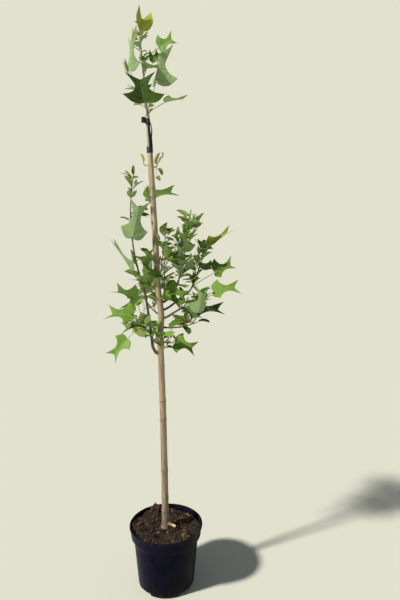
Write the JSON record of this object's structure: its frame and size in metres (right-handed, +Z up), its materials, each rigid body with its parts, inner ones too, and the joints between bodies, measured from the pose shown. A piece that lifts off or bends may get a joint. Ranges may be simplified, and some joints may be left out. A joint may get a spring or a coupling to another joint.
{
  "type": "potted tulip tree sapling",
  "caption": "Young grafted tulip tree about 1.9 m tall: a thin leaning stem with side shoots and four-lobed leaves, standing in a round black nursery pot of bark compost.",
  "frame": {"origin": "centre of the pot's flat underside", "axes": "+Z up the stem; +X to the side where the outer right shoot reaches, -Y the front that shows the big leaf at the top"},
  "size_m": [0.4538, 0.3634, 1.9168],
  "materials": {
    "pot_plastic": "black moulded plastic, slightly shiny on its ribs",
    "bark_compost": "damp dark brown bark compost",
    "stem_bark": "smooth grey-tan young bark",
    "twig_bark": "dark olive-brown shoot bark",
    "leaf_green": "satin green leaf, paler beneath",
    "black_tape": "black grafting tape",
    "cut_wood": "cream cut wood"
  },
  "bodies": {
    "root": {"pot": "pot_plastic", "compost": "bark_compost", "trunk": "stem_bark", "cut_stub": "cut_wood", "graft_tape": "black_tape", "left_bough": "twig_bark", "left_low_bough": "twig_bark", "right_high_bough": "twig_bark", "right_outer_bough": "twig_bark", "right_mid_bough": "twig_bark", "right_low_bough": "twig_bark", "back_bough": "twig_bark", "leader_leaves": "leaf_green", "right_tuft": "leaf_green", "left_tuft": "leaf_green", "upper_back_leaf": "leaf_green", "left_tall_leaves": "leaf_green", "left_low_leaves": "leaf_green", "left_inner_leaves": "leaf_green", "left_mid_leaves": "leaf_green", "middle_leaves": "leaf_green", "right_high_leaves": "leaf_green", "right_outer_leaves": "leaf_green", "right_mid_leaves": "leaf_green", "right_low_leaves": "leaf_green", "right_foot_leaves": "leaf_green", "front_low_leaves": "leaf_green", "back_leaves": "leaf_green", "back_high_leaves": "leaf_green", "back_left_leaves": "leaf_green"}
  },
  "joints": []
}
